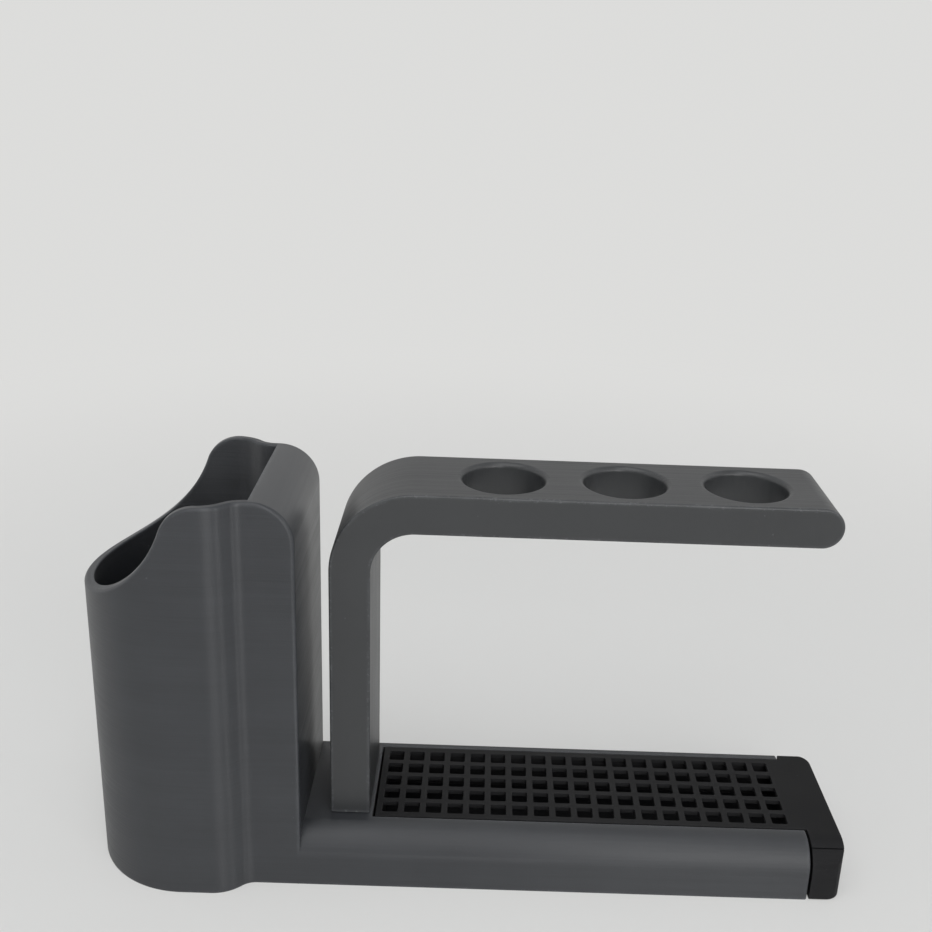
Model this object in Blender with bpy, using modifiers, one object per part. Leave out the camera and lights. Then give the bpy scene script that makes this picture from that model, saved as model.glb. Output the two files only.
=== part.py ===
"""Countertop toothbrush holder.

The body is an open vessel on a low base. A bent arm with brush holes plugs into the base. A drip tray
slides into the base from its right end, and a perforated grate lies on the tray.

Lengths are in metres and angles in radians. The object stands on z = 0, with its length along X, its
front towards -Y, and its origin under the middle of its bounding box.
"""

import math

import bmesh
import bpy

# Base, with the channel that takes the tray
BASE_DEPTH = 0.0413
BASE_HEIGHT = 0.0147
BASE_FLOOR = 0.0024
SHOULDER_RADIUS = 0.007
BACK_EDGE_RADIUS = 0.0008
BASE_END_RADIUS = 0.0005
FRONT_WALL = 0.0084
BACK_WALL = 0.0021
CHANNEL_START = 0.0008
CHANNEL_LENGTH = 0.1108

# Vessel: a round lobe that narrows to the base's depth, and ends in a thick wall on its right
VESSEL_RADIUS = 0.025
VESSEL_STRAIGHT = 0.0074
VESSEL_HEIGHT = 0.1034
VESSEL_WALL = 0.0023
VESSEL_FLOOR = 0.0024
NECK_LENGTH = 0.0105
NECK_OUTER_RADIUS = 0.010
FLAT_LENGTH = 0.0112
THICK_WALL = 0.0105
CORNER_RADIUS = 0.010
WALL_EDGE_RADIUS = 0.001

# Rim, level on the right and swept down to the left
RIM_LEVEL = 0.0211
RIM_RUN = 0.0377
RIM_DROP = 0.0268
RIM_DIP_RADIUS = 0.031

# Arm: a flat bar that stands as a post, and bends over into a shelf with round holes
POST_GAP = 0.0063
ARM_HEIGHT = 0.1028
ARM_THICKNESS = 0.010
ARM_DEPTH = 0.0272
ARM_SETBACK = 0.0094
ARM_EDGE_RADIUS = 0.0005
BEND_RADIUS = 0.0205
TENON_WIDTH = 0.006
TENON_DEPTH = 0.022
TENON_LENGTH = 0.009
HOLE_COUNT = 3
HOLE_RADIUS = 0.010
HOLE_LIP_RADIUS = 0.0013
HOLE_START = 0.041
HOLE_PITCH = 0.0295
HOLE_TO_TIP = 0.0209

# Tray and grate, which share the end piece
TRAY_PLAY = 0.0006
TRAY_WALL = 0.0016
TRAY_FLOOR = 0.0016
END_GAP = 0.0005
END_THICKNESS = 0.0083
END_CORNER_RADIUS = 0.004
GRATE_THICKNESS = 0.0012
GRATE_HOLE = 0.004
GRATE_RIB = 0.0016

# Clearance between pieces that fit together
FIT = 0.0003

# How far a cutter runs past what it cuts, and a joined piece into what it joins
MARGIN = 0.005

# Farthest that a flat facet strays from its arc, the distance within which two points are one, the
# angle from which an edge looks sharp, and the angle under which two faces count as one flat face
CHORD_ERROR = 0.00002
SAME_POINT = CHORD_ERROR / 10
SHARP_ANGLE = math.radians(35)
FLAT_ANGLE = math.radians(0.5)

QUARTER = math.pi / 2

# Places along X, from the vessel's left end to the end piece's right face
TOTAL_LENGTH = (
    VESSEL_RADIUS + VESSEL_STRAIGHT + NECK_LENGTH + FLAT_LENGTH + POST_GAP + ARM_THICKNESS
    + CHANNEL_START + CHANNEL_LENGTH + END_GAP + END_THICKNESS
)
LOBE_X = VESSEL_RADIUS - TOTAL_LENGTH / 2
NECK_X = LOBE_X + VESSEL_STRAIGHT
FLAT_X = NECK_X + NECK_LENGTH
WALL_X = FLAT_X + FLAT_LENGTH
HOLLOW_END_X = WALL_X - THICK_WALL
POST_X = WALL_X + POST_GAP
CHANNEL_X = POST_X + ARM_THICKNESS + CHANNEL_START
TRAY_X = CHANNEL_X + TRAY_PLAY
BASE_END_X = CHANNEL_X + CHANNEL_LENGTH
END_X = BASE_END_X + END_GAP
RIGHT_X = END_X + END_THICKNESS

# Places along Y
FRONT_Y = -BASE_DEPTH / 2
BACK_Y = BASE_DEPTH / 2
CHANNEL_FRONT_Y = FRONT_Y + FRONT_WALL
CHANNEL_BACK_Y = BACK_Y - BACK_WALL
CHANNEL_MIDDLE_Y = (CHANNEL_FRONT_Y + CHANNEL_BACK_Y) / 2
SLIDE_FRONT_Y = CHANNEL_FRONT_Y + FIT
SLIDE_BACK_Y = CHANNEL_BACK_Y - FIT
ARM_FRONT_Y = FRONT_Y + ARM_SETBACK
ARM_BACK_Y = ARM_FRONT_Y + ARM_DEPTH
ARM_MIDDLE_Y = ARM_FRONT_Y + ARM_DEPTH / 2

# Places along Z
TRAY_BOTTOM_Z = BASE_FLOOR + FIT
GRATE_BOTTOM_Z = BASE_HEIGHT - GRATE_THICKNESS
TRAY_TOP_Z = GRATE_BOTTOM_Z - FIT
POST_FOOT_Z = BASE_HEIGHT + FIT


def clear_scene():
    for obj in list(bpy.data.objects):
        bpy.data.objects.remove(obj, do_unlink=True)


def new_collection(name):
    collection = bpy.data.collections.new(name)
    bpy.context.scene.collection.children.link(collection)
    return collection


def new_material(name, color, roughness):
    material = bpy.data.materials.new(name)
    material.use_nodes = True
    shader = material.node_tree.nodes["Principled BSDF"]
    shader.inputs["Base Color"].default_value = (*color, 1.0)
    shader.inputs["Roughness"].default_value = roughness
    shader.inputs["Metallic"].default_value = 0.0
    material.diffuse_color = (*color, 1.0)
    return material


def facet_angle(radius):
    """The angle that one facet of an arc turns through when it strays by the allowed error."""
    return 2 * math.acos(1 - CHORD_ERROR / radius)


def arc(center, radius, start, end):
    """Points along an arc in a drawing plane, both of its ends included."""
    steps = math.ceil(abs(end - start) / facet_angle(radius))
    angles = [start + (end - start) * i / steps for i in range(steps + 1)]
    return [(center[0] + radius * math.cos(a), center[1] + radius * math.sin(a)) for a in angles]


def edit_mesh(mesh, change):
    """Runs a change on the mesh's editable form."""
    bm = bmesh.new()
    bm.from_mesh(mesh)
    change(bm)
    bm.to_mesh(mesh)
    bm.free()


def filled_outline(name, points, thickness):
    """The mesh of a flat outline, filled and centred on its own plane."""
    curve = bpy.data.curves.new(name, "CURVE")
    curve.dimensions = "2D"
    curve.fill_mode = "BOTH"
    curve.extrude = thickness / 2
    spline = curve.splines.new("POLY")
    spline.points.add(len(points) - 1)
    for point, (u, v) in zip(spline.points, points):
        point.co = (u, v, 0, 1)
    spline.use_cyclic_u = True
    drawn = bpy.data.objects.new(name, curve)
    bpy.context.scene.collection.objects.link(drawn)
    graph = bpy.context.evaluated_depsgraph_get()
    mesh = bpy.data.meshes.new_from_object(drawn.evaluated_get(graph))
    bpy.data.objects.remove(drawn, do_unlink=True)
    bpy.data.curves.remove(curve)
    mesh.name = name
    return mesh


def prism(name, outline, low, high, axes):
    """A solid drawn as an outline along the first two axes, and running from low to high along the third."""
    points = [p for i, p in enumerate(outline) if math.dist(p, outline[i - 1]) > SAME_POINT]
    mesh = filled_outline(name, points, high - low)
    u_axis, v_axis, thick_axis = ("XYZ".index(letter) for letter in axes)
    middle = (low + high) / 2

    def stand_up(bm):
        for vertex in bm.verts:
            u, v, w = vertex.co
            vertex.co[u_axis] = u
            vertex.co[v_axis] = v
            vertex.co[thick_axis] = middle + w
        bmesh.ops.remove_doubles(bm, verts=bm.verts, dist=SAME_POINT)
        bmesh.ops.dissolve_limit(bm, angle_limit=FLAT_ANGLE, verts=bm.verts, edges=bm.edges)
        bmesh.ops.recalc_face_normals(bm, faces=bm.faces)

    edit_mesh(mesh, stand_up)
    return bpy.data.objects.new(name, mesh)


def block(name, low, high):
    """A box between two opposite corners."""
    mesh = bpy.data.meshes.new(name)

    def make(bm):
        bmesh.ops.create_cube(bm, size=1)
        for vertex in bm.verts:
            vertex.co = [high[i] if vertex.co[i] > 0 else low[i] for i in range(3)]

    edit_mesh(mesh, make)
    return bpy.data.objects.new(name, mesh)


def round_edges(obj, radius, chosen):
    """Rounds each edge of a prism whose middle passes the test."""

    def bevel(bm):
        edges = [e for e in bm.edges if chosen((e.verts[0].co + e.verts[1].co) / 2)]
        steps = math.ceil(QUARTER / facet_angle(radius))
        bmesh.ops.bevel(
            bm, geom=edges, offset=radius, segments=steps, profile=0.5, affect="EDGES"
        )

    edit_mesh(obj.data, bevel)
    return obj


def shade_smooth(obj):
    obj.data.shade_smooth()
    obj.data.set_sharp_from_angle(angle=SHARP_ANGLE)


def add_part(obj, material):
    obj.data.materials.append(material)
    shade_smooth(obj)
    PARTS.objects.link(obj)
    return obj


def combine(obj, operation, helper):
    """Joins a helper to the object, cuts it out, or keeps only what lies inside it."""
    shade_smooth(helper)
    CUTTERS.objects.link(helper)
    helper.hide_render = True
    helper.display_type = "WIRE"
    modifier = obj.modifiers.new(helper.name, "BOOLEAN")
    modifier.operation = operation
    modifier.solver = "EXACT"
    modifier.object = helper


def move_origin(obj, point):
    """Moves the object's origin to a point, and leaves its shape where it is."""
    for vertex in obj.data.vertices:
        vertex.co = [c - p for c, p in zip(vertex.co, point)]
    obj.location = point


def vessel_side(inset):
    """The back side of the vessel's outline, left to right, moved inwards by the inset."""
    turn = 2 * math.atan2(VESSEL_RADIUS - BACK_Y, NECK_LENGTH)
    inner_radius = NECK_LENGTH / math.sin(turn) - NECK_OUTER_RADIUS
    lobe = arc((LOBE_X, 0), VESSEL_RADIUS - inset, 2 * QUARTER, QUARTER)
    bulge_center = (NECK_X, VESSEL_RADIUS - NECK_OUTER_RADIUS)
    bulge = arc(bulge_center, NECK_OUTER_RADIUS - inset, QUARTER, QUARTER - turn)
    hollow = arc((FLAT_X, BACK_Y + inner_radius), inner_radius + inset, -QUARTER - turn, -QUARTER)
    return lobe + bulge + hollow


def vessel_outline(inset, right):
    """The vessel seen from above, as far as a straight right end."""
    side = vessel_side(inset)
    back = side + [(right, side[-1][1])]
    return back + [(x, -y) for x, y in reversed(back)]


def above_rim():
    """The space over the vessel's swept rim, seen from the front."""
    turn = 2 * math.atan2(RIM_DROP, RIM_RUN)
    crest_radius = RIM_RUN / math.sin(turn) - RIM_DIP_RADIUS
    level_x = WALL_X - RIM_LEVEL
    dip_center = (level_x - RIM_RUN, VESSEL_HEIGHT - RIM_DROP + RIM_DIP_RADIUS)
    dip = arc(dip_center, RIM_DIP_RADIUS, -QUARTER, turn - QUARTER)
    crest_center = (level_x, VESSEL_HEIGHT - crest_radius)
    crest = arc(crest_center, crest_radius, QUARTER + turn, QUARTER)
    right = FLAT_X + MARGIN
    top = VESSEL_HEIGHT + 2 * MARGIN
    return dip + crest + [(right, VESSEL_HEIGHT), (right, top), (dip_center[0], top)]


def thick_wall():
    """The vessel's flat right part, with its upper right corner and its outline's edges rounded."""
    left = FLAT_X - MARGIN
    corner_center = (WALL_X - CORNER_RADIUS, VESSEL_HEIGHT - CORNER_RADIUS)
    corner = arc(corner_center, CORNER_RADIUS, QUARTER, 0)
    outline = [(left, 0), (left, VESSEL_HEIGHT)] + corner + [(WALL_X, 0)]
    wall = prism("thick_wall", outline, FRONT_Y, BACK_Y, "XZY")

    def on_outline(middle):
        on_face = abs(middle.y) > BACK_Y - CHORD_ERROR
        return on_face and middle.x > left + CHORD_ERROR and middle.z > CHORD_ERROR

    return round_edges(wall, WALL_EDGE_RADIUS, on_outline)


def base_section(low):
    """The base seen from the right, down to a given height."""
    front_center = (FRONT_Y + SHOULDER_RADIUS, BASE_HEIGHT - SHOULDER_RADIUS)
    back_center = (BACK_Y - BACK_EDGE_RADIUS, BASE_HEIGHT - BACK_EDGE_RADIUS)
    front = arc(front_center, SHOULDER_RADIUS, 2 * QUARTER, QUARTER)
    back = arc(back_center, BACK_EDGE_RADIUS, QUARTER, 0)
    return [(FRONT_Y, low)] + front + back + [(BACK_Y, low)]


def base_bar():
    """The base, from inside the thick wall to its right end."""
    left = (HOLLOW_END_X + WALL_X) / 2
    bar = prism("base_bar", base_section(0), left, BASE_END_X, "YZX")

    def on_end(middle):
        return middle.x > BASE_END_X - CHORD_ERROR and middle.z > CHORD_ERROR

    return round_edges(bar, BASE_END_RADIUS, on_end)


def tenon(name, top, clearance):
    """The arm's tenon, or its socket in the base when it has a clearance."""
    middle_x = POST_X + ARM_THICKNESS / 2
    half_width = TENON_WIDTH / 2 + clearance
    half_depth = TENON_DEPTH / 2 + clearance
    bottom = BASE_HEIGHT - TENON_LENGTH - clearance
    low = (middle_x - half_width, ARM_MIDDLE_Y - half_depth, bottom)
    high = (middle_x + half_width, ARM_MIDDLE_Y + half_depth, top)
    return block(name, low, high)


def build_body(material):
    """The vessel and the base in one piece, with the tray's channel and the arm's socket."""
    outline = vessel_outline(0, FLAT_X)
    body = add_part(prism("holder_body", outline, 0, VESSEL_HEIGHT + MARGIN, "XYZ"), material)
    reach = VESSEL_RADIUS + MARGIN
    combine(body, "DIFFERENCE", prism("above_rim", above_rim(), -reach, reach, "XZY"))
    combine(body, "UNION", thick_wall())
    combine(body, "UNION", base_bar())
    hollow = vessel_outline(VESSEL_WALL, HOLLOW_END_X)
    hollow_top = VESSEL_HEIGHT + MARGIN
    combine(body, "DIFFERENCE", prism("vessel_hollow", hollow, VESSEL_FLOOR, hollow_top, "XYZ"))
    channel_low = (CHANNEL_X, CHANNEL_FRONT_Y, BASE_FLOOR)
    channel_high = (BASE_END_X + MARGIN, CHANNEL_BACK_Y, BASE_HEIGHT + MARGIN)
    combine(body, "DIFFERENCE", block("tray_channel", channel_low, channel_high))
    combine(body, "DIFFERENCE", tenon("arm_socket", BASE_HEIGHT + MARGIN, FIT))


def arm_outline():
    """The arm seen from the front: post, bend, shelf and round end."""
    inner_radius = BEND_RADIUS - ARM_THICKNESS
    bend_center = (POST_X + BEND_RADIUS, ARM_HEIGHT - BEND_RADIUS)
    half = ARM_THICKNESS / 2
    last_hole_x = POST_X + HOLE_START + (HOLE_COUNT - 1) * HOLE_PITCH
    tip_center = (last_hole_x + HOLE_TO_TIP - half, ARM_HEIGHT - half)
    outer_bend = arc(bend_center, BEND_RADIUS, 2 * QUARTER, QUARTER)
    tip = arc(tip_center, half, QUARTER, -QUARTER)
    inner_bend = arc(bend_center, inner_radius, QUARTER, 2 * QUARTER)
    foot = [(POST_X + ARM_THICKNESS, POST_FOOT_Z), (POST_X, POST_FOOT_Z)]
    return outer_bend + tip + inner_bend + foot


def brush_hole(index):
    """A turned cutter for one brush hole, which flares at the shelf's top and underside."""
    flare = HOLE_RADIUS + HOLE_LIP_RADIUS
    half = ARM_THICKNESS / 2
    upper = arc((flare, half - HOLE_LIP_RADIUS), HOLE_LIP_RADIUS, QUARTER, 2 * QUARTER)
    lower = [(r, -z) for r, z in reversed(upper)]
    end = half + MARGIN
    profile = [(0, end), (flare, end)] + upper + lower + [(flare, -end), (0, -end)]
    mesh = bpy.data.meshes.new(f"brush_hole_{index + 1}")
    links = [(i, i + 1) for i in range(len(profile) - 1)]
    mesh.from_pydata([(r, 0, z) for r, z in profile], links, [])
    cutter = bpy.data.objects.new(mesh.name, mesh)
    cutter.location = (POST_X + HOLE_START + index * HOLE_PITCH, ARM_MIDDLE_Y, ARM_HEIGHT - half)
    turn = cutter.modifiers.new("turn", "SCREW")
    turn.axis = "Z"
    turn.steps = math.ceil(4 * QUARTER / facet_angle(HOLE_RADIUS))
    turn.render_steps = turn.steps
    turn.use_merge_vertices = True
    turn.merge_threshold = CHORD_ERROR
    return cutter


def build_arm(material):
    """The post and the holed shelf in one bent bar, with a tenon under the post."""
    arm = prism("brush_arm", arm_outline(), ARM_FRONT_Y, ARM_BACK_Y, "XZY")

    def on_outline(middle):
        on_face = abs(middle.y - ARM_MIDDLE_Y) > ARM_DEPTH / 2 - CHORD_ERROR
        return on_face and middle.z > POST_FOOT_Z + CHORD_ERROR

    round_edges(arm, ARM_EDGE_RADIUS, on_outline)
    add_part(arm, material)
    combine(arm, "UNION", tenon("arm_tenon", POST_FOOT_Z + MARGIN, 0))
    for index in range(HOLE_COUNT):
        combine(arm, "DIFFERENCE", brush_hole(index))
    move_origin(arm, (POST_X + ARM_THICKNESS / 2, ARM_MIDDLE_Y, POST_FOOT_Z))


def beside_channel(name):
    """All that lies beside and under the channel's sliding space, as far as the end piece."""
    top = BASE_HEIGHT + MARGIN
    front = FRONT_Y - MARGIN
    back = BACK_Y + MARGIN
    outer = [(front, top), (front, -MARGIN), (back, -MARGIN), (back, top)]
    inner = [
        (SLIDE_BACK_Y, top), (SLIDE_BACK_Y, TRAY_BOTTOM_Z),
        (SLIDE_FRONT_Y, TRAY_BOTTOM_Z), (SLIDE_FRONT_Y, top),
    ]
    return prism(name, outer + inner, TRAY_X - MARGIN, END_X, "YZX")


def end_plan(name):
    """The sliding pieces seen from above, with the end piece's two right corners rounded."""
    radius = END_CORNER_RADIUS
    center_x = RIGHT_X - radius
    back = arc((center_x, BACK_Y - radius), radius, QUARTER, 0)
    front = [(x, -y) for x, y in reversed(back)]
    left = TRAY_X - MARGIN
    outline = [(left, BACK_Y)] + back + front + [(left, FRONT_Y)]
    return prism(name, outline, -MARGIN, BASE_HEIGHT + MARGIN, "XYZ")


def sliding_bar(name, material):
    """A bar of the base's section, cut to the sliding space as far as the end piece."""
    bar = add_part(prism(name, base_section(FIT), TRAY_X, RIGHT_X, "YZX"), material)
    combine(bar, "INTERSECT", end_plan(f"{name}_plan"))
    combine(bar, "DIFFERENCE", beside_channel(f"beside_{name}"))
    return bar


def across_bar(name, bottom, top):
    """A block as wide and long as a sliding bar and more, between two heights."""
    low = (TRAY_X - MARGIN, FRONT_Y - MARGIN, bottom)
    high = (RIGHT_X + MARGIN, BACK_Y + MARGIN, top)
    return block(name, low, high)


def build_tray(material):
    """The open drawer under the grate, with the lower part of the end piece as its front."""
    tray = sliding_bar("drip_tray", material)
    combine(tray, "DIFFERENCE", across_bar("above_tray", TRAY_TOP_Z, BASE_HEIGHT + MARGIN))
    low = (TRAY_X + TRAY_WALL, SLIDE_FRONT_Y + TRAY_WALL, TRAY_BOTTOM_Z + TRAY_FLOOR)
    high = (BASE_END_X - TRAY_WALL, SLIDE_BACK_Y - TRAY_WALL, BASE_HEIGHT)
    combine(tray, "DIFFERENCE", block("tray_pocket", low, high))
    move_origin(tray, (BASE_END_X, CHANNEL_MIDDLE_Y, TRAY_BOTTOM_Z))
    return tray


def grate_holes():
    """Square cutters in as many rows and columns as the grate's strip has room for."""
    pitch = GRATE_HOLE + GRATE_RIB
    width = SLIDE_BACK_Y - SLIDE_FRONT_Y
    rows = int((width - GRATE_RIB) / pitch)
    columns = int((BASE_END_X - TRAY_X - GRATE_RIB) / pitch)
    first_x = TRAY_X + GRATE_RIB
    first_y = CHANNEL_MIDDLE_Y - (rows * pitch - GRATE_RIB) / 2
    low = (first_x, first_y, GRATE_BOTTOM_Z - MARGIN)
    high = (first_x + GRATE_HOLE, first_y + GRATE_HOLE, BASE_HEIGHT + MARGIN)
    holes = block("grate_holes", low, high)
    for name, count, step in (("columns", columns, (pitch, 0, 0)), ("rows", rows, (0, pitch, 0))):
        array = holes.modifiers.new(name, "ARRAY")
        array.count = count
        array.use_relative_offset = False
        array.use_constant_offset = True
        array.constant_offset_displace = step
    return holes


def build_grate(material, tray):
    """The flat perforated lid, with the top of the end piece."""
    grate = sliding_bar("drain_grate", material)
    combine(grate, "DIFFERENCE", across_bar("below_grate", -MARGIN, GRATE_BOTTOM_Z))
    combine(grate, "DIFFERENCE", grate_holes())
    move_origin(grate, (END_X + END_THICKNESS / 2, CHANNEL_MIDDLE_Y, GRATE_BOTTOM_Z))
    grate.parent = tray
    grate.location = [a - b for a, b in zip(grate.location, tray.location)]


clear_scene()
PARTS = new_collection("toothbrush_holder")
CUTTERS = new_collection("cutters")
build_body(new_material("body_grey", (0.044, 0.0457, 0.049), 0.42))
build_arm(new_material("arm_grey", (0.044, 0.0457, 0.048), 0.38))
tray_part = build_tray(new_material("tray_black", (0.010, 0.010, 0.011), 0.58))
build_grate(new_material("grate_black", (0.009, 0.009, 0.010), 0.58), tray_part)
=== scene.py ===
import math

import bmesh
import bpy
from mathutils import Matrix, Vector


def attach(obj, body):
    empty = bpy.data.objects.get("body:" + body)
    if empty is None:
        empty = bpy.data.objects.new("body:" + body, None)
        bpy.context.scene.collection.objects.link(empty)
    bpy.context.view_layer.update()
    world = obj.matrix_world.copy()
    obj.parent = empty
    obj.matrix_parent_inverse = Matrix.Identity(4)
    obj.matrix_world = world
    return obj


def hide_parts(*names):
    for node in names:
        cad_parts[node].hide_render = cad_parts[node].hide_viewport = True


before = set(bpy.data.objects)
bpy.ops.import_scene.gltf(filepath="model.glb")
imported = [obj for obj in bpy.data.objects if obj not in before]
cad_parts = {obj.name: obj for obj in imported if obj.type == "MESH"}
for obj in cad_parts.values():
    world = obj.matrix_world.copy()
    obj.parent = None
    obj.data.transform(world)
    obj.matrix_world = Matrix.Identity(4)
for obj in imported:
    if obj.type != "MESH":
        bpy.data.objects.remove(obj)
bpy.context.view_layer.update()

# The dressed model of a countertop toothbrush holder. Each of its four pieces stands for one solid and is
# built from the same sizes, with finer curves, a rounded rim on the vessel and broken edges.
# Lengths are in metres and angles in radians.

# Base, with the channel that takes the tray
BASE_DEPTH = 0.0413
BASE_HEIGHT = 0.0147
BASE_FLOOR = 0.0024
SHOULDER_RADIUS = 0.007
BACK_EDGE_RADIUS = 0.0008
BASE_END_RADIUS = 0.0005
FRONT_WALL = 0.0084
BACK_WALL = 0.0021

# Vessel, with its swept rim
VESSEL_RADIUS = 0.025
VESSEL_STRAIGHT = 0.0074
VESSEL_HEIGHT = 0.1034
VESSEL_WALL = 0.0023
VESSEL_FLOOR = 0.0024
NECK_LENGTH = 0.0105
NECK_OUTER_RADIUS = 0.010
THICK_WALL = 0.0105
CORNER_RADIUS = 0.010
WALL_EDGE_RADIUS = 0.001
RIM_LEVEL = 0.0211
RIM_RUN = 0.0377
RIM_DROP = 0.0268
RIM_DIP_RADIUS = 0.031
RIM_OUTER_ROUND = 0.0007
RIM_INNER_ROUND = 0.0005
FLOOR_ROUND = 0.0008
STEEPEST_RIM = 2.5

# Arm
ARM_HEIGHT = 0.1028
ARM_THICKNESS = 0.010
ARM_DEPTH = 0.0272
ARM_SETBACK = 0.0094
ARM_EDGE_RADIUS = 0.0005
BEND_RADIUS = 0.0205
TENON_WIDTH = 0.006
TENON_DEPTH = 0.022
TENON_LENGTH = 0.009
HOLE_COUNT = 3
HOLE_RADIUS = 0.010
HOLE_LIP_RADIUS = 0.0013
HOLE_START = 0.041
HOLE_PITCH = 0.0295
HOLE_TO_TIP = 0.0209

# Tray and grate
TRAY_WALL = 0.0016
TRAY_FLOOR = 0.0016
END_CORNER_RADIUS = 0.004
GRATE_THICKNESS = 0.0012
GRATE_HOLE = 0.004
GRATE_HOLE_CORNER = 0.0005
GRATE_RIB = 0.0016

# Room between fitted pieces, the seam in the end piece, and how far outer edges are broken
FIT = 0.0003
SEAM = 0.00012
EDGE_BREAK = 0.0002
FINE_EDGE_BREAK = 0.0001

# Places along X
LOBE_X = -0.0704
NECK_X = LOBE_X + VESSEL_STRAIGHT
FLAT_X = NECK_X + NECK_LENGTH
WALL_X = -0.0413
HOLLOW_END_X = WALL_X - THICK_WALL
POST_X = -0.035
CHANNEL_X = -0.0242
TRAY_X = -0.0236
BASE_END_X = 0.0866
END_X = 0.0871
RIGHT_X = 0.0954

# Places along Y and Z
FRONT_Y = -BASE_DEPTH / 2
BACK_Y = BASE_DEPTH / 2
CHANNEL_FRONT_Y = FRONT_Y + FRONT_WALL
CHANNEL_BACK_Y = BACK_Y - BACK_WALL
CHANNEL_MIDDLE_Y = (CHANNEL_FRONT_Y + CHANNEL_BACK_Y) / 2
SLIDE_FRONT_Y = CHANNEL_FRONT_Y + FIT
SLIDE_BACK_Y = CHANNEL_BACK_Y - FIT
ARM_FRONT_Y = FRONT_Y + ARM_SETBACK
ARM_BACK_Y = ARM_FRONT_Y + ARM_DEPTH
ARM_MIDDLE_Y = (ARM_FRONT_Y + ARM_BACK_Y) / 2
TRAY_BOTTOM_Z = BASE_FLOOR + FIT
GRATE_BOTTOM_Z = BASE_HEIGHT - GRATE_THICKNESS
TRAY_TOP_Z = GRATE_BOTTOM_Z - SEAM
POST_FOOT_Z = BASE_HEIGHT + FIT

# Fineness of the meshes
CHORD_ERROR = 0.000004
STATION_STEP = 0.0005
RIM_INNER_STEPS = 6
FLOOR_STEPS = 5
HOLE_CORNER_STEPS = 4
EDGE_STEPS = 3
FLAT_ANGLE = math.radians(0.5)
SHARP_ANGLE = math.radians(40)

# Distances under which two points of an outline or mesh are one, and an edge is collapsed
OUTLINE_GAP = CHORD_ERROR / 10
SAME_POINT = 0.000001
TINY_EDGE = 0.00001

# How far a cutter runs past what it cuts. The vessel's thin wall runs on into the thick one, a hair
# smaller there, so that no faces of the two coincide.
MARGIN = 0.005
INTO_WALL = 0.0001
HAIR = 0.000005

QUARTER = math.pi / 2
FULL_TURN = 4 * QUARTER

# The point that all lamps face, and each lamp's name, place, width and height, power and shape
LAMP_TARGET = (0, 0, 0.05)
LAMPS = (
    ("key", (0.30, -0.88, 0.40), (0.45, 0.5), 2.3, "ELLIPSE"),
    ("strip", (0.62, -0.66, 0.22), (0.09, 0.42), 0.8, "ELLIPSE"),
    ("left", (-0.96, 0.03, 0.26), (0.78, 0.5), 0.6, "RECTANGLE"),
    ("right", (0.9, -0.05, 0.6), (0.4, 0.4), 0.4, "ELLIPSE"),
    ("top", (-0.15, -0.35, 0.97), (1.0, 0.9), 4.2, "ELLIPSE"),
)

# Printed plastic: the layers' height and relief
LAYER_HEIGHT = 0.0006
LAYER_RELIEF = 0.00004

# How often its patterns repeat in a metre, along the layers' stack and across it where they differ
LINES = (1 / LAYER_HEIGHT, 12)
BANDS = (900, 14)
BROAD_BANDS = (120, 18)
CLOUDS = 70
GRAIN = 3500
FLECKS = 420
BEADS = 1300
# The gaps break up both the edge wear and the painted highlight along the edges.
WEAR_AND_HIGHLIGHT_GAPS = 160

# What bands, clouds and wear add to its roughness, how pale a fleck is, and how near an edge counts
BAND_ROUGHNESS = 0.16
CLOUD_ROUGHNESS = 0.10
WORN_ROUGHNESS = -0.08
FLECK_SHADE = 0.7
EDGE_REACH = 0.001

# A slight lean, for the gloss of faces that lie level with the layers
LEVEL_LEAN = (0.01, 0, 0)


def facet_angle(radius):
    """The angle that one facet of an arc turns through when it strays by the allowed error."""
    return 2 * math.acos(1 - CHORD_ERROR / radius)


def arc(center, radius, start, end, steps=None):
    """Points along an arc in a drawing plane, both of its ends included."""
    steps = steps or math.ceil(abs(end - start) / facet_angle(radius))
    angles = [start + (end - start) * i / steps for i in range(steps + 1)]
    return [(center[0] + radius * math.cos(a), center[1] + radius * math.sin(a)) for a in angles]


def add_object(name, data):
    """A new object, linked to the scene."""
    made = bpy.data.objects.new(name, data)
    bpy.context.scene.collection.objects.link(made)
    return made


def edit_mesh(mesh, change):
    """Runs a change on the mesh's editable form."""
    bm = bmesh.new()
    bm.from_mesh(mesh)
    change(bm)
    bm.to_mesh(mesh)
    bm.free()


def filled_outline(name, points, thickness):
    """The mesh of a flat outline, filled and centred on its own plane."""
    curve = bpy.data.curves.new(name, "CURVE")
    curve.dimensions = "2D"
    curve.fill_mode = "BOTH"
    curve.extrude = thickness / 2
    spline = curve.splines.new("POLY")
    spline.points.add(len(points) - 1)
    for point, (u, v) in zip(spline.points, points):
        point.co = (u, v, 0, 1)
    spline.use_cyclic_u = True
    drawn = add_object(name, curve)
    graph = bpy.context.evaluated_depsgraph_get()
    mesh = bpy.data.meshes.new_from_object(drawn.evaluated_get(graph))
    bpy.data.objects.remove(drawn, do_unlink=True)
    bpy.data.curves.remove(curve)
    return mesh


def prism(outline, low, high, axes):
    """A solid drawn as an outline along the first two axes, and running from low to high along the third."""
    points = [p for i, p in enumerate(outline) if math.dist(p, outline[i - 1]) > OUTLINE_GAP]
    mesh = filled_outline("prism", points, high - low)
    u_axis, v_axis, thick_axis = ("XYZ".index(letter) for letter in axes)
    middle = (low + high) / 2

    def stand_up(bm):
        for vertex in bm.verts:
            u, v, w = vertex.co
            vertex.co[u_axis] = u
            vertex.co[v_axis] = v
            vertex.co[thick_axis] = middle + w
        bmesh.ops.remove_doubles(bm, verts=bm.verts, dist=OUTLINE_GAP)
        bmesh.ops.dissolve_limit(bm, angle_limit=FLAT_ANGLE, verts=bm.verts, edges=bm.edges)
        bmesh.ops.recalc_face_normals(bm, faces=bm.faces)

    edit_mesh(mesh, stand_up)
    return mesh


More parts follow.
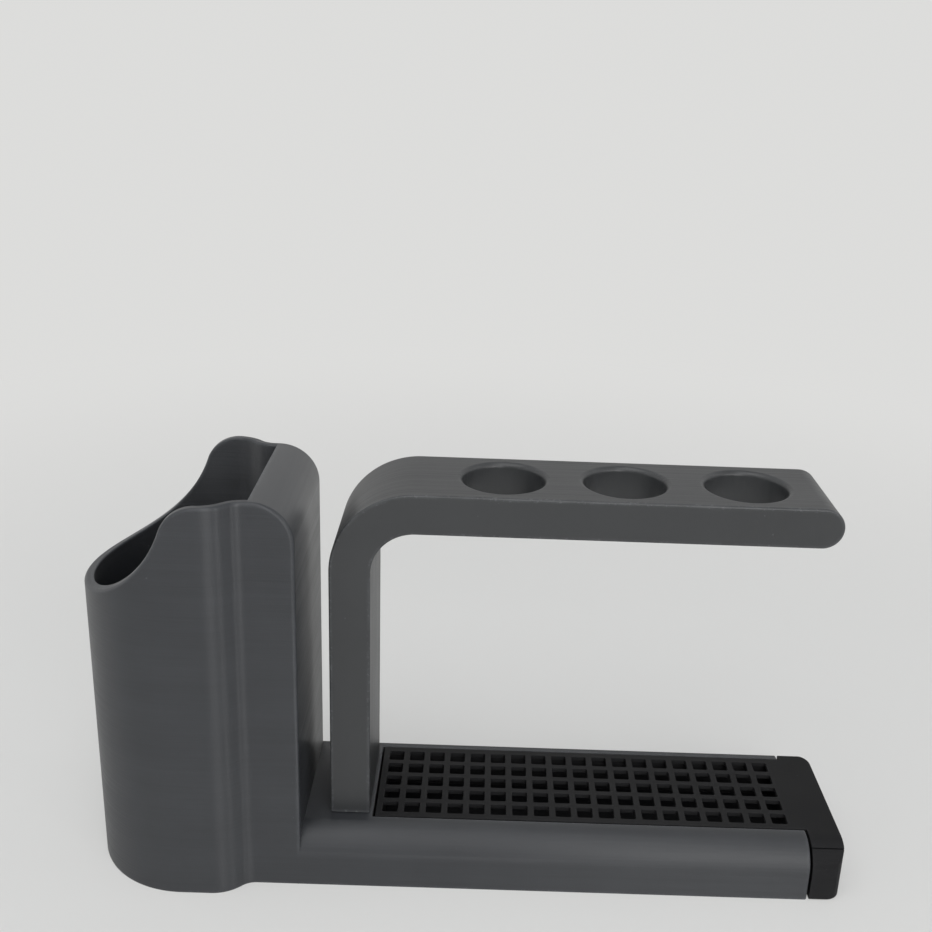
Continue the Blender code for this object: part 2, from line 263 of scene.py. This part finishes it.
def closed_mesh(name, points, faces):
    """The mesh of faces that enclose a solid, all turned outwards."""
    mesh = bpy.data.meshes.new(name)
    mesh.from_pydata(points, [], faces)
    edit_mesh(mesh, lambda bm: bmesh.ops.recalc_face_normals(bm, faces=bm.faces))
    return mesh


def turned(profile, center, steps):
    """The points and side faces of a profile, in radius and height, turned round an upright axis."""
    points = []
    for i in range(steps):
        angle = FULL_TURN * i / steps
        points += [center + Vector((r * math.cos(angle), r * math.sin(angle), z)) for r, z in profile]
    count = len(profile)
    faces = []
    for i in range(steps):
        a, b = i * count, (i + 1) % steps * count
        faces += [(a + j, b + j, b + j + 1, a + j + 1) for j in range(count - 1)]
    return points, faces


def block(low, high):
    """A box between two opposite corners."""
    mesh = bpy.data.meshes.new("block")

    def make(bm):
        bmesh.ops.create_cube(bm, size=1)
        for vertex in bm.verts:
            vertex.co = [high[i] if vertex.co[i] > 0 else low[i] for i in range(3)]

    edit_mesh(mesh, make)
    return mesh


def round_edges(mesh, radius, chosen):
    """Rounds each edge of a prism whose middle passes the test."""

    def bevel(bm):
        edges = [e for e in bm.edges if chosen((e.verts[0].co + e.verts[1].co) / 2)]
        steps = math.ceil(QUARTER / facet_angle(radius))
        bmesh.ops.bevel(bm, geom=edges, offset=radius, segments=steps, profile=0.5, affect="EDGES")

    edit_mesh(mesh, bevel)
    return mesh


def carved(mesh, *steps):
    """The mesh with further meshes joined to it or cut out of it, one after the other."""
    helpers = [add_object("shape", m) for m in (mesh, *(m for _, m in steps))]
    for (operation, _), helper in zip(steps, helpers[1:]):
        modifier = helpers[0].modifiers.new("step", "BOOLEAN")
        modifier.operation = operation
        modifier.solver = "EXACT"
        modifier.object = helper
    graph = bpy.context.evaluated_depsgraph_get()
    result = bpy.data.meshes.new_from_object(helpers[0].evaluated_get(graph))
    for helper in helpers:
        bpy.data.objects.remove(helper, do_unlink=True)

    def clean(bm):
        bmesh.ops.remove_doubles(bm, verts=bm.verts, dist=SAME_POINT)
        bmesh.ops.dissolve_degenerate(bm, edges=bm.edges, dist=TINY_EDGE)

    edit_mesh(result, clean)
    return result


def mark_outer_edges(bm):
    """Marks each sharp edge that sticks out, for the modifier that breaks it."""
    weight = bm.edges.layers.float.new("bevel_weight_edge")
    for edge in bm.edges:
        if edge.is_manifold and edge.is_convex and edge.calc_face_angle() > SHARP_ANGLE:
            edge[weight] = 1


def dress(name, mesh, body, material, edge_break):
    """Makes a piece of the visual model that stands for the CAD node of nearly the same name."""
    mesh.name = name
    mesh.materials.clear()
    mesh.materials.append(material)
    mesh.shade_smooth()
    mesh.set_sharp_from_angle(angle=SHARP_ANGLE)
    piece = add_object(name, mesh)
    if edge_break:
        edit_mesh(mesh, mark_outer_edges)
        bevel = piece.modifiers.new("edge_break", "BEVEL")
        bevel.width = edge_break
        bevel.segments = EDGE_STEPS
        bevel.limit_method = "WEIGHT"
        bevel.use_clamp_overlap = False
    shading = piece.modifiers.new("shading", "WEIGHTED_NORMAL")
    shading.keep_sharp = True
    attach(piece, body)
    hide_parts(name.removesuffix("_print"))
    return piece


def rim_height(x):
    """The height of the vessel's swept rim at a place along X."""
    turn = 2 * math.atan2(RIM_DROP, RIM_RUN)
    crest_radius = RIM_RUN / math.sin(turn) - RIM_DIP_RADIUS
    level_x = WALL_X - RIM_LEVEL
    dip_x = level_x - RIM_RUN
    if x > level_x:
        return VESSEL_HEIGHT
    if x > dip_x + RIM_DIP_RADIUS * math.sin(turn):
        return VESSEL_HEIGHT - crest_radius + math.sqrt(crest_radius ** 2 - (level_x - x) ** 2)
    return VESSEL_HEIGHT - RIM_DROP + RIM_DIP_RADIUS - math.sqrt(RIM_DIP_RADIUS ** 2 - (x - dip_x) ** 2)


def wall_path(inset):
    """Close points along the vessel's outline, from its left end round the back to the thick wall."""
    turn = 2 * math.atan2(VESSEL_RADIUS - BACK_Y, NECK_LENGTH)
    hollow_radius = NECK_LENGTH / math.sin(turn) - NECK_OUTER_RADIUS
    lobe_steps, level_steps, bulge_steps, hollow_steps = 800, 200, 150, 100
    lobe = arc((LOBE_X, 0), VESSEL_RADIUS - inset, 2 * QUARTER, QUARTER, lobe_steps)
    level_y = VESSEL_RADIUS - inset
    level = [(LOBE_X + VESSEL_STRAIGHT * i / level_steps, level_y) for i in range(1, level_steps)]
    bulge_center = (NECK_X, VESSEL_RADIUS - NECK_OUTER_RADIUS)
    bulge = arc(bulge_center, NECK_OUTER_RADIUS - inset, QUARTER, QUARTER - turn, bulge_steps)
    hollow_center = (FLAT_X, BACK_Y + hollow_radius)
    hollow = arc(hollow_center, hollow_radius + inset, -QUARTER - turn, -QUARTER, hollow_steps)
    return lobe + level + bulge + hollow[1:] + [(HOLLOW_END_X - HAIR, BACK_Y - inset)]


def inside_wall(outer, inner, depth):
    """The place so deep in the wall, between a point of its outer face and one of its inner face."""
    share = depth / VESSEL_WALL
    return [o + (i - o) * share for o, i in zip(outer, inner)]


def wall_section(outer, inner, slope):
    """Points up the wall's outer face, over its rim and down its inner face, at one place of the outline."""
    stretch = math.sqrt(1 + min(slope, STEEPEST_RIM) ** 2)
    near_wall = min(1, max(0, (outer[0] - NECK_X) / (FLAT_X - NECK_X)))
    outer_round = RIM_OUTER_ROUND + (WALL_EDGE_RADIUS - RIM_OUTER_ROUND) * near_wall
    steps = math.ceil(QUARTER / facet_angle(WALL_EDGE_RADIUS))
    top = arc((outer_round, outer_round), outer_round, 2 * QUARTER, 3 * QUARTER, steps)
    inner_center = (VESSEL_WALL - RIM_INNER_ROUND, RIM_INNER_ROUND)
    top += arc(inner_center, RIM_INNER_ROUND, -QUARTER, 0, RIM_INNER_STEPS)
    points = [(*outer, 0)]
    for depth, drop in top:
        x, y = inside_wall(outer, inner, depth)
        points.append((x, y, rim_height(x) - drop * stretch))
    floor_center = (VESSEL_WALL + FLOOR_ROUND, VESSEL_FLOOR + FLOOR_ROUND)
    for depth, z in arc(floor_center, FLOOR_ROUND, 2 * QUARTER, 3 * QUARTER, FLOOR_STEPS):
        points.append((*inside_wall(outer, inner, depth), z))
    return points


def stations(rim):
    """The numbers of those of the rim's points that lie about one step apart, its two ends included."""
    chosen = [0]
    run = 0
    for i in range(1, len(rim)):
        run += (rim[i] - rim[i - 1]).length
        if run > STATION_STEP or i == len(rim) - 1:
            chosen.append(i)
            run = 0
    return chosen


def vessel_tub():
    """The vessel's thin wall and floor, which end just inside the thick wall."""
    outer = wall_path(0)
    inner = wall_path(VESSEL_WALL)
    rim = [Vector((x, y, rim_height(x))) for x, y in outer]
    back = []
    for i in stations(rim):
        a, b = rim[max(i - 1, 0)], rim[min(i + 1, len(rim) - 1)]
        slope = abs(b.z - a.z) / math.dist(a.xy, b.xy)
        back.append(wall_section(outer[i], inner[i], slope))
    middle_z = VESSEL_HEIGHT / 2
    sunk = 1 - HAIR / middle_z
    end_x = HOLLOW_END_X + INTO_WALL
    back.append([(end_x, y * sunk, middle_z + (z - middle_z) * sunk) for _, y, z in back[-1]])
    front = [[(x, -y, z) for x, y, z in section] for section in back[1:]]
    sections = list(reversed(front)) + back
    count = len(back[0])
    points = [p for section in sections for p in section]
    faces = []
    for i in range(len(sections) - 1):
        for j in range(count - 1):
            a = i * count + j
            faces.append((a, a + 1, a + count + 1, a + count))
    last = (len(sections) - 1) * count
    faces.append([i * count for i in range(len(sections))])
    faces.append([i * count + count - 1 for i in range(len(sections))])
    faces.append(list(range(count)) + list(reversed(range(last, last + count))))
    return closed_mesh("vessel_tub", points, faces)


def thick_wall():
    """The vessel's flat right part, with its upper right corner and its outline's edges rounded."""
    corner_center = (WALL_X - CORNER_RADIUS, VESSEL_HEIGHT - CORNER_RADIUS)
    corner = arc(corner_center, CORNER_RADIUS, QUARTER, 0)
    outline = [(HOLLOW_END_X, 0), (HOLLOW_END_X, VESSEL_HEIGHT)] + corner + [(WALL_X, 0)]
    wall = prism(outline, FRONT_Y, BACK_Y, "XZY")

    def on_outline(middle):
        on_face = abs(middle.y) > BACK_Y - CHORD_ERROR
        return on_face and middle.x > HOLLOW_END_X + CHORD_ERROR and middle.z > CHORD_ERROR

    return round_edges(wall, WALL_EDGE_RADIUS, on_outline)


def base_section(low):
    """The base seen from the right, down to a given height."""
    front_center = (FRONT_Y + SHOULDER_RADIUS, BASE_HEIGHT - SHOULDER_RADIUS)
    back_center = (BACK_Y - BACK_EDGE_RADIUS, BASE_HEIGHT - BACK_EDGE_RADIUS)
    front = arc(front_center, SHOULDER_RADIUS, 2 * QUARTER, QUARTER)
    back = arc(back_center, BACK_EDGE_RADIUS, QUARTER, 0)
    return [(FRONT_Y, low)] + front + back + [(BACK_Y, low)]


def base_bar():
    """The base, from inside the thick wall to its right end."""
    left = (HOLLOW_END_X + WALL_X) / 2
    bar = prism(base_section(0), left, BASE_END_X, "YZX")

    def on_end(middle):
        return middle.x > BASE_END_X - CHORD_ERROR and middle.z > CHORD_ERROR

    return round_edges(bar, BASE_END_RADIUS, on_end)


def tenon(top, clearance):
    """The arm's tenon, or its socket in the base when it has a clearance."""
    middle_x = POST_X + ARM_THICKNESS / 2
    half_width = TENON_WIDTH / 2 + clearance
    half_depth = TENON_DEPTH / 2 + clearance
    bottom = BASE_HEIGHT - TENON_LENGTH - clearance
    low = (middle_x - half_width, ARM_MIDDLE_Y - half_depth, bottom)
    return block(low, (middle_x + half_width, ARM_MIDDLE_Y + half_depth, top))


def body_mesh():
    """The vessel and the base in one piece, with the tray's channel and the arm's socket."""
    low = (CHANNEL_X, CHANNEL_FRONT_Y, BASE_FLOOR)
    channel = block(low, (BASE_END_X + MARGIN, CHANNEL_BACK_Y, BASE_HEIGHT + MARGIN))
    return carved(
        vessel_tub(),
        ("UNION", thick_wall()),
        ("UNION", base_bar()),
        ("DIFFERENCE", channel),
        ("DIFFERENCE", tenon(BASE_HEIGHT + MARGIN, FIT)),
    )


def arm_outline():
    """The arm seen from the front: post, bend, shelf and round end."""
    inner_radius = BEND_RADIUS - ARM_THICKNESS
    bend_center = (POST_X + BEND_RADIUS, ARM_HEIGHT - BEND_RADIUS)
    half = ARM_THICKNESS / 2
    last_hole_x = POST_X + HOLE_START + (HOLE_COUNT - 1) * HOLE_PITCH
    tip_center = (last_hole_x + HOLE_TO_TIP - half, ARM_HEIGHT - half)
    outer_bend = arc(bend_center, BEND_RADIUS, 2 * QUARTER, QUARTER)
    tip = arc(tip_center, half, QUARTER, -QUARTER)
    inner_bend = arc(bend_center, inner_radius, QUARTER, 2 * QUARTER)
    foot = [(POST_X + ARM_THICKNESS, POST_FOOT_Z), (POST_X, POST_FOOT_Z)]
    return outer_bend + tip + inner_bend + foot


def brush_hole(index):
    """A turned cutter for one brush hole, which flares at the shelf's top and underside."""
    flare = HOLE_RADIUS + HOLE_LIP_RADIUS
    half = ARM_THICKNESS / 2
    upper = arc((flare, half - HOLE_LIP_RADIUS), HOLE_LIP_RADIUS, QUARTER, 2 * QUARTER)
    lower = [(r, -z) for r, z in reversed(upper)]
    profile = [(flare, half + MARGIN)] + upper + lower + [(flare, -half - MARGIN)]
    center = Vector((POST_X + HOLE_START + index * HOLE_PITCH, ARM_MIDDLE_Y, ARM_HEIGHT - half))
    steps = math.ceil(FULL_TURN / facet_angle(HOLE_RADIUS))
    points, faces = turned(profile, center, steps)
    count = len(profile)
    faces.append([i * count for i in range(steps)])
    faces.append([i * count + count - 1 for i in range(steps)])
    return closed_mesh("brush_hole", points, faces)


def arm_mesh():
    """The post and the holed shelf in one bent bar, with a tenon under the post."""
    arm = prism(arm_outline(), ARM_FRONT_Y, ARM_BACK_Y, "XZY")

    def on_outline(middle):
        on_face = abs(middle.y - ARM_MIDDLE_Y) > ARM_DEPTH / 2 - CHORD_ERROR
        return on_face and middle.z > POST_FOOT_Z + CHORD_ERROR

    round_edges(arm, ARM_EDGE_RADIUS, on_outline)
    holes = [("DIFFERENCE", brush_hole(index)) for index in range(HOLE_COUNT)]
    return carved(arm, ("UNION", tenon(POST_FOOT_Z + MARGIN, 0)), *holes)


def beside_channel():
    """All that lies beside and under the channel's sliding space, as far as the end piece."""
    top = BASE_HEIGHT + MARGIN
    front = FRONT_Y - MARGIN
    back = BACK_Y + MARGIN
    outer = [(front, top), (front, -MARGIN), (back, -MARGIN), (back, top)]
    inner = [
        (SLIDE_BACK_Y, top), (SLIDE_BACK_Y, TRAY_BOTTOM_Z),
        (SLIDE_FRONT_Y, TRAY_BOTTOM_Z), (SLIDE_FRONT_Y, top),
    ]
    return prism(outer + inner, TRAY_X - MARGIN, END_X, "YZX")


def end_plan():
    """The sliding pieces seen from above, with the end piece's two right corners rounded."""
    radius = END_CORNER_RADIUS
    back = arc((RIGHT_X - radius, BACK_Y - radius), radius, QUARTER, 0)
    front = [(x, -y) for x, y in reversed(back)]
    left = TRAY_X - MARGIN
    outline = [(left, BACK_Y)] + back + front + [(left, FRONT_Y)]
    return prism(outline, -MARGIN, BASE_HEIGHT + MARGIN, "XYZ")


def sliding_mesh(bottom, top, *steps):
    """The part of the tray and grate between two heights, with further steps of its own."""
    low = (TRAY_X - MARGIN, FRONT_Y - MARGIN, bottom)
    between = block(low, (RIGHT_X + MARGIN, BACK_Y + MARGIN, top))
    return carved(
        prism(base_section(FIT), TRAY_X, RIGHT_X, "YZX"),
        ("INTERSECT", end_plan()),
        ("DIFFERENCE", beside_channel()),
        ("INTERSECT", between),
        *steps,
    )


def tray_mesh():
    """The open drawer under the grate, with the lower part of the end piece as its front."""
    low = (TRAY_X + TRAY_WALL, SLIDE_FRONT_Y + TRAY_WALL, TRAY_BOTTOM_Z + TRAY_FLOOR)
    high = (BASE_END_X - TRAY_WALL, SLIDE_BACK_Y - TRAY_WALL, BASE_HEIGHT)
    return sliding_mesh(-MARGIN, TRAY_TOP_Z, ("DIFFERENCE", block(low, high)))


def grate_holes():
    """Square cutters with softened corners, in as many rows and columns as the strip has room for."""
    pitch = GRATE_HOLE + GRATE_RIB
    rows = int((SLIDE_BACK_Y - SLIDE_FRONT_Y) / pitch)
    columns = int((BASE_END_X - TRAY_X - GRATE_RIB) / pitch)
    half = GRATE_HOLE / 2
    corner = GRATE_HOLE_CORNER
    outline = []
    for turn, (u, v) in enumerate(((1, 1), (-1, 1), (-1, -1), (1, -1))):
        center = (u * (half - corner), v * (half - corner))
        outline += arc(center, corner, turn * QUARTER, (turn + 1) * QUARTER, HOLE_CORNER_STEPS)
    one = prism(outline, GRATE_BOTTOM_Z - MARGIN, BASE_HEIGHT + MARGIN, "XYZ")
    first_x = TRAY_X + GRATE_RIB + half
    first_y = CHANNEL_MIDDLE_Y - (rows - 1) * pitch / 2
    all_holes = bpy.data.meshes.new("grate_holes")

    def repeat(bm):
        bm.from_mesh(one)
        start = list(bm.verts) + list(bm.edges) + list(bm.faces)
        for row in range(rows):
            for column in range(columns):
                copied = bmesh.ops.duplicate(bm, geom=start)["geom"]
                verts = [v for v in copied if isinstance(v, bmesh.types.BMVert)]
                shift = (first_x + column * pitch, first_y + row * pitch, 0)
                bmesh.ops.translate(bm, verts=verts, vec=shift)
        first = [v for v in start if isinstance(v, bmesh.types.BMVert)]
        bmesh.ops.delete(bm, geom=first, context="VERTS")

    edit_mesh(all_holes, repeat)
    return all_holes


def grate_mesh():
    """The flat perforated lid, with the top of the end piece."""
    return sliding_mesh(GRATE_BOTTOM_Z, BASE_HEIGHT + MARGIN, ("DIFFERENCE", grate_holes()))


class Paint:
    """Builds one material's nodes."""

    def __init__(self, name):
        self.material = bpy.data.materials.new(name)
        self.material.use_nodes = True
        self.tree = self.material.node_tree
        self.shader = self.tree.nodes["Principled BSDF"]
        self.place = self.node("ShaderNodeTexCoord").outputs["Object"]

    def node(self, kind, settings=None, **inputs):
        """A new node. An input is given by its name, or as i and its number."""
        made = self.tree.nodes.new(kind)
        for key, value in (settings or {}).items():
            setattr(made, key, value)
        for key, value in inputs.items():
            socket = made.inputs[int(key[1:])] if key[0] == "i" and key[1:].isdigit() else made.inputs[key]
            self.feed(socket, value)
        return made

    def feed(self, socket, value):
        if isinstance(value, bpy.types.NodeSocket):
            self.tree.links.new(value, socket)
        else:
            socket.default_value = value

    def math(self, operation, a, b=0.0, c=0.0):
        return self.node("ShaderNodeMath", {"operation": operation}, i0=a, i1=b, i2=c).outputs[0]

    def vector_math(self, operation, a, b):
        return self.node("ShaderNodeVectorMath", {"operation": operation}, i0=a, i1=b)

    def noise(self, often, detail=2.0, roughness=0.5):
        """Noise from 0 to 1, with so many features a metre, on all axes or on each."""
        stretch = often if isinstance(often, tuple) else (often, often, often)
        spread = self.vector_math("MULTIPLY", self.place, stretch)
        return self.node(
            "ShaderNodeTexNoise", Vector=spread.outputs[0], Scale=1.0, Detail=detail, Roughness=roughness
        ).outputs[0]

    def ramp(self, value, low, high):
        """0 below the low value, 1 above the high one, and smooth between."""
        smooth = {"interpolation_type": "SMOOTHSTEP"}
        return self.node("ShaderNodeMapRange", smooth, i0=value, i1=low, i2=high).outputs[0]


def make_camera():
    """The camera at the photograph's place, from the fit of the grate, arm and base."""
    focal, center_x, center_y, size = 1143.45, 489.37, 436.29, 932
    pitch, yaw, roll = 0.331, 0.009, -0.038
    place = (-0.00024, -0.25669, 0.20229)
    nearest, farthest = 0.01, 50
    forward = Vector((math.sin(yaw) * math.cos(pitch), math.cos(yaw) * math.cos(pitch), -math.sin(pitch)))
    right = Vector((math.cos(yaw), -math.sin(yaw), 0))
    down = forward.cross(right)
    right_2 = math.cos(roll) * right + math.sin(roll) * down
    down_2 = -math.sin(roll) * right + math.cos(roll) * down
    data = bpy.data.cameras.new("camera")
    data.sensor_width = 36
    data.lens = focal * data.sensor_width / size
    data.shift_x = (size / 2 - center_x) / size
    data.shift_y = (center_y - size / 2) / size
    data.clip_start = nearest
    data.clip_end = farthest
    camera = add_object("camera", data)
    rotation = Matrix((right_2, -down_2, -forward)).transposed()
    camera.matrix_world = Matrix.Translation(place) @ rotation.to_4x4()
    bpy.context.scene.camera = camera


def add_lamp(name, place, size, power, shape):
    """A soft lamp, so wide and so high, that points at the object."""
    data = bpy.data.lights.new(name, "AREA")
    data.energy = power
    data.shape = shape
    data.size, data.size_y = size
    light = add_object(name, data)
    light.location = place
    aim = Vector(LAMP_TARGET) - Vector(place)
    light.rotation_euler = aim.to_track_quat("-Z", "Y").to_euler()


def add_stage():
    """A pale floor that curves up into a wall all round, with no line between the two."""
    flat, bend, height = 1.1, 0.9, 3.0
    steps, bend_steps = 96, 32
    profile = [(0, 0)] + arc((flat, bend), bend, -QUARTER, 0, bend_steps) + [(flat + bend, height)]
    points, faces = turned(profile, Vector((0, 0, 0)), steps)
    mesh = bpy.data.meshes.new("stage")
    mesh.from_pydata(points, [], faces)

    def close_middle(bm):
        bmesh.ops.remove_doubles(bm, verts=bm.verts, dist=SAME_POINT)
        bmesh.ops.recalc_face_normals(bm, faces=bm.faces)
        bmesh.ops.reverse_faces(bm, faces=bm.faces)

    edit_mesh(mesh, close_middle)
    mesh.shade_smooth()
    mesh.materials.append(stage_paint())
    add_object("stage", mesh)


def stage_paint():
    """A pale matt floor, which turns into an even pale backdrop away from the object."""
    floor_color, backdrop_color = (0.84, 0.84, 0.83, 1), (0.72, 0.72, 0.71, 1)
    near, far = 0.1, 0.5
    paint = Paint("stage")
    paint.shader.inputs["Base Color"].default_value = floor_color
    paint.shader.inputs["Roughness"].default_value = 0.8
    away = paint.node("ShaderNodeVectorMath", {"operation": "LENGTH"}, i0=paint.place)
    rays = paint.node("ShaderNodeLightPath").outputs
    seen = paint.math("ADD", rays["Is Camera Ray"], rays["Is Glossy Ray"])
    seen = paint.math("MINIMUM", paint.math("ADD", seen, rays["Is Transmission Ray"]), 1.0)
    share = paint.math("MULTIPLY_ADD", paint.ramp(away.outputs["Value"], near, far), 0.5, 0.5)
    share = paint.math("MULTIPLY", seen, share)
    glow = paint.node("ShaderNodeEmission", Color=backdrop_color, Strength=1.0).outputs[0]
    mixed = paint.node("ShaderNodeMixShader", i0=share, i1=paint.shader.outputs[0], i2=glow)
    paint.feed(paint.tree.nodes["Material Output"].inputs["Surface"], mixed.outputs[0])
    return paint.material


def set_world():
    """An even pale light from all round."""
    world = bpy.data.worlds.new("world")
    bpy.context.scene.world = world
    world.use_nodes = True
    sky = world.node_tree.nodes["Background"].inputs
    sky["Color"].default_value = (0.93, 0.96, 1.0, 1)
    sky["Strength"].default_value = 0.4


def along(axis, lengthways, across):
    """One value along the given axis and another along the two across it."""
    return tuple(lengthways if letter == axis else across for letter in "XYZ")


def across_layers(paint, layer_axis):
    """The direction on the surface in which the layers are stacked, and level where there is none."""
    normal = paint.node("ShaderNodeNewGeometry").outputs["Normal"]
    stacked = along(layer_axis, 1.0, 0.0)
    share = paint.vector_math("DOT_PRODUCT", normal, stacked).outputs["Value"]
    out = paint.node("ShaderNodeVectorMath", {"operation": "SCALE"}, i0=normal, Scale=share)
    flat = paint.vector_math("SUBTRACT", stacked, out.outputs[0])
    return paint.vector_math("ADD", flat.outputs[0], LEVEL_LEAN).outputs[0]


def printed_plastic(name, color, roughness, layer_axis, shine, wear_and_highlight, stretch=0.85, beads=0.0, uneven=0.12):
    """Printed plastic: layer lines across one axis, uneven bands of layers, flecks, and pale beads and
    rubbing along the edges, whose lightening is partly a painted highlight. The layers stretch the gloss."""
    paint = Paint(name)
    paint.shader.inputs["Specular IOR Level"].default_value = shine
    paint.shader.inputs["Anisotropic"].default_value = stretch
    paint.feed(paint.shader.inputs["Tangent"], across_layers(paint, layer_axis))

    # Patterns all over the surface
    line = paint.noise(along(layer_axis, *LINES), detail=1.0)
    bands = paint.noise(along(layer_axis, *BANDS), detail=3.0, roughness=0.65)
    broad = paint.noise(along(layer_axis, *BROAD_BANDS))
    clouds = paint.noise(CLOUDS, detail=3.0)
    grain = paint.noise(GRAIN, roughness=0.6)

    # Flecks, small and round, in a few of the cells of a loose grid
    cells = paint.node("ShaderNodeTexVoronoi", Vector=paint.place, Scale=FLECKS)
    near = paint.math("SUBTRACT", 1.0, paint.ramp(cells.outputs["Distance"], 0.04, 0.11))
    pick = paint.node("ShaderNodeSeparateColor", Color=cells.outputs["Color"]).outputs[0]
    fleck = paint.math("MULTIPLY", near, paint.ramp(pick, 0.965, 0.97))

    # Wear, painted highlight and beads on outer edges, where little plastic lies behind the surface, broken
    # up by noise
    inward = {"samples": 4, "inside": True, "only_local": True}
    depth_left = paint.node("ShaderNodeAmbientOcclusion", inward, Distance=EDGE_REACH).outputs["AO"]
    edge = paint.math("SUBTRACT", 1.0, paint.ramp(depth_left, 0.55, 0.95))
    bead = paint.math("MULTIPLY", edge, paint.ramp(paint.noise(BEADS, detail=1.0), 0.6, 0.68))
    edge = paint.math("MULTIPLY", edge, paint.ramp(paint.noise(WEAR_AND_HIGHLIGHT_GAPS, detail=3.0), 0.2, 0.7))

    # How much lighter or darker than its own colour the plastic is, with edges made lighter partly as a
    # painted highlight
    shade = 1.0
    for pattern in (bands, broad, clouds):
        shade = paint.math("MULTIPLY_ADD", pattern, uneven, paint.math("SUBTRACT", shade, uneven / 2))
    # The edge mask lightens the colour: partly wear, and partly a painted highlight along the outer edges.
    for pattern, share in ((edge, wear_and_highlight), (fleck, FLECK_SHADE), (bead, beads)):
        shade = paint.math("MULTIPLY_ADD", pattern, share, shade)
    tinted = paint.node("ShaderNodeVectorMath", {"operation": "SCALE"}, i0=color, Scale=shade)
    paint.feed(paint.shader.inputs["Base Color"], tinted.outputs[0])

    # Roughness
    rough = paint.math("MULTIPLY_ADD", bands, BAND_ROUGHNESS, roughness - BAND_ROUGHNESS / 2)
    middle = paint.math("SUBTRACT", rough, CLOUD_ROUGHNESS / 2)
    rough = paint.math("MULTIPLY_ADD", clouds, CLOUD_ROUGHNESS, middle)
    rough = paint.math("MULTIPLY_ADD", edge, WORN_ROUGHNESS, rough)
    paint.feed(paint.shader.inputs["Roughness"], rough)

    # Relief, in layer lines
    relief = line
    for pattern, share in ((bands, 1.6), (grain, 0.5), (fleck, 1.5), (bead, beads * 2)):
        relief = paint.math("MULTIPLY_ADD", pattern, share, relief)
    bump = paint.node("ShaderNodeBump", Strength=0.9, Distance=LAYER_RELIEF, Height=relief)
    paint.feed(paint.shader.inputs["Normal"], bump.outputs[0])
    return paint.material


make_camera()
add_stage()
set_world()
for name, place, size, power, shape in LAMPS:
    add_lamp(name, place, size, power, shape)
bpy.context.scene.view_settings.view_transform = "Standard"

# The number that lightens the outer edges stands partly for wear and partly for a painted highlight.
body_paint = printed_plastic(
    "body_grey_print", (0.0425, 0.045, 0.050), 0.36, "Z", shine=0.45, wear_and_highlight=0.9, stretch=0.98, beads=0.5,
    uneven=0.25,
)
arm_paint = printed_plastic(
    "arm_grey_print", (0.044, 0.0457, 0.048), 0.38, "Y", shine=0.5, wear_and_highlight=1.3, stretch=0.5, beads=1.8,
    uneven=0.2,
)
tray_paint = printed_plastic("tray_black_print", (0.010, 0.010, 0.011), 0.58, "Z", shine=0.2, wear_and_highlight=0.3)
grate_paint = printed_plastic("grate_black_print", (0.009, 0.009, 0.010), 0.58, "Z", shine=0.2, wear_and_highlight=0.3)
dress("holder_body_print", body_mesh(), "holder", body_paint, EDGE_BREAK)
dress("brush_arm_print", arm_mesh(), "holder", arm_paint, 0)
dress("drip_tray_print", tray_mesh(), "tray", tray_paint, FINE_EDGE_BREAK)
dress("drain_grate_print", grate_mesh(), "grate", grate_paint, FINE_EDGE_BREAK)
